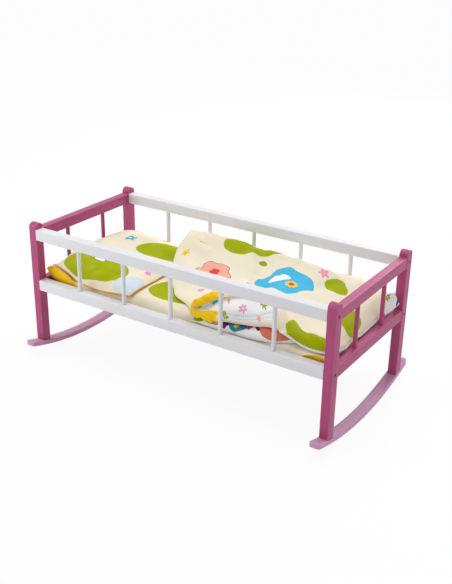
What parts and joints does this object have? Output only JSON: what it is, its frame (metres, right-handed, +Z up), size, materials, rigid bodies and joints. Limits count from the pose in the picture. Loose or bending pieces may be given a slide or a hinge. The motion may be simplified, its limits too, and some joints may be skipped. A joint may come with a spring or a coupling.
{
  "type": "doll cradle",
  "caption": "Wooden doll cradle on bent rockers, with spindled sides and ends, a base panel, mattress, pillow and quilt.",
  "frame": {"origin": "on the floor, under the middle of the cradle", "axes": "+X along the cradle from the pillow's end to the foot, +Y across it to the rear, +Z up"},
  "size_m": [0.5008, 0.276, 0.2084],
  "materials": {
    "pink_paint": "satin mauve-pink paint on wood",
    "rocker_paint": "satin pale lilac-pink paint on wood",
    "white_paint": "satin white paint on wood",
    "hardboard": "smooth brown hardboard",
    "beech": "bare glued beech",
    "screw_steel": "dull zinc-plated steel",
    "mattress_cotton": "printed cream cotton",
    "pillow_cotton": "printed cream cotton",
    "quilt_cotton": "printed cream cotton with a yellow-orange lining"
  },
  "bodies": {
    "frame": {"left_front_post": "pink_paint", "left_rear_post": "pink_paint", "right_front_post": "pink_paint", "right_rear_post": "pink_paint", "left_end_top_rail": "pink_paint", "left_end_lower_rail": "pink_paint", "right_end_top_rail": "pink_paint", "right_end_lower_rail": "pink_paint", "left_end_spindle_1": "pink_paint", "left_end_spindle_2": "pink_paint", "right_end_spindle_1": "pink_paint", "right_end_spindle_2": "pink_paint", "left_rocker": "rocker_paint", "right_rocker": "rocker_paint", "front_top_rail": "white_paint", "front_lower_rail": "white_paint", "rear_top_rail": "white_paint", "rear_lower_rail": "white_paint", "front_spindle_1": "white_paint", "front_spindle_2": "white_paint", "front_spindle_3": "white_paint", "front_spindle_4": "white_paint", "front_spindle_5": "white_paint", "rear_spindle_1": "white_paint", "rear_spindle_2": "white_paint", "rear_spindle_3": "white_paint", "rear_spindle_4": "white_paint", "rear_spindle_5": "white_paint", "left_front_top_rail_screw": "screw_steel", "left_front_lower_rail_screw": "screw_steel", "left_rear_top_rail_screw": "screw_steel", "left_rear_lower_rail_screw": "screw_steel", "right_front_top_rail_screw": "screw_steel", "right_front_lower_rail_screw": "screw_steel", "right_rear_top_rail_screw": "screw_steel", "right_rear_lower_rail_screw": "screw_steel", "left_front_rocker_screw": "screw_steel", "left_rear_rocker_screw": "screw_steel", "right_front_rocker_screw": "screw_steel", "right_rear_rocker_screw": "screw_steel", "left_front_top_pin": "beech", "left_front_lower_pin": "beech", "left_rear_top_pin": "beech", "left_rear_lower_pin": "beech", "right_front_top_pin": "beech", "right_front_lower_pin": "beech", "right_rear_top_pin": "beech", "right_rear_lower_pin": "beech", "base_panel": "hardboard"},
    "mattress": {"mattress": "mattress_cotton"},
    "pillow": {"pillow": "pillow_cotton"},
    "quilt": {"quilt": "quilt_cotton"}
  },
  "joints": [
    {"name": "mattress_lift", "type": "slide", "parent": "frame", "child": "mattress", "axis": [0, 0, 1], "range_m": [0, 0.11]},
    {"name": "pillow_lift", "type": "slide", "parent": "mattress", "child": "pillow", "axis": [0, 0, 1], "range_m": [0, 0.11]},
    {"name": "quilt_lift", "type": "slide", "parent": "pillow", "child": "quilt", "axis": [0, 0, 1], "range_m": [0, 0.11]}
  ]
}
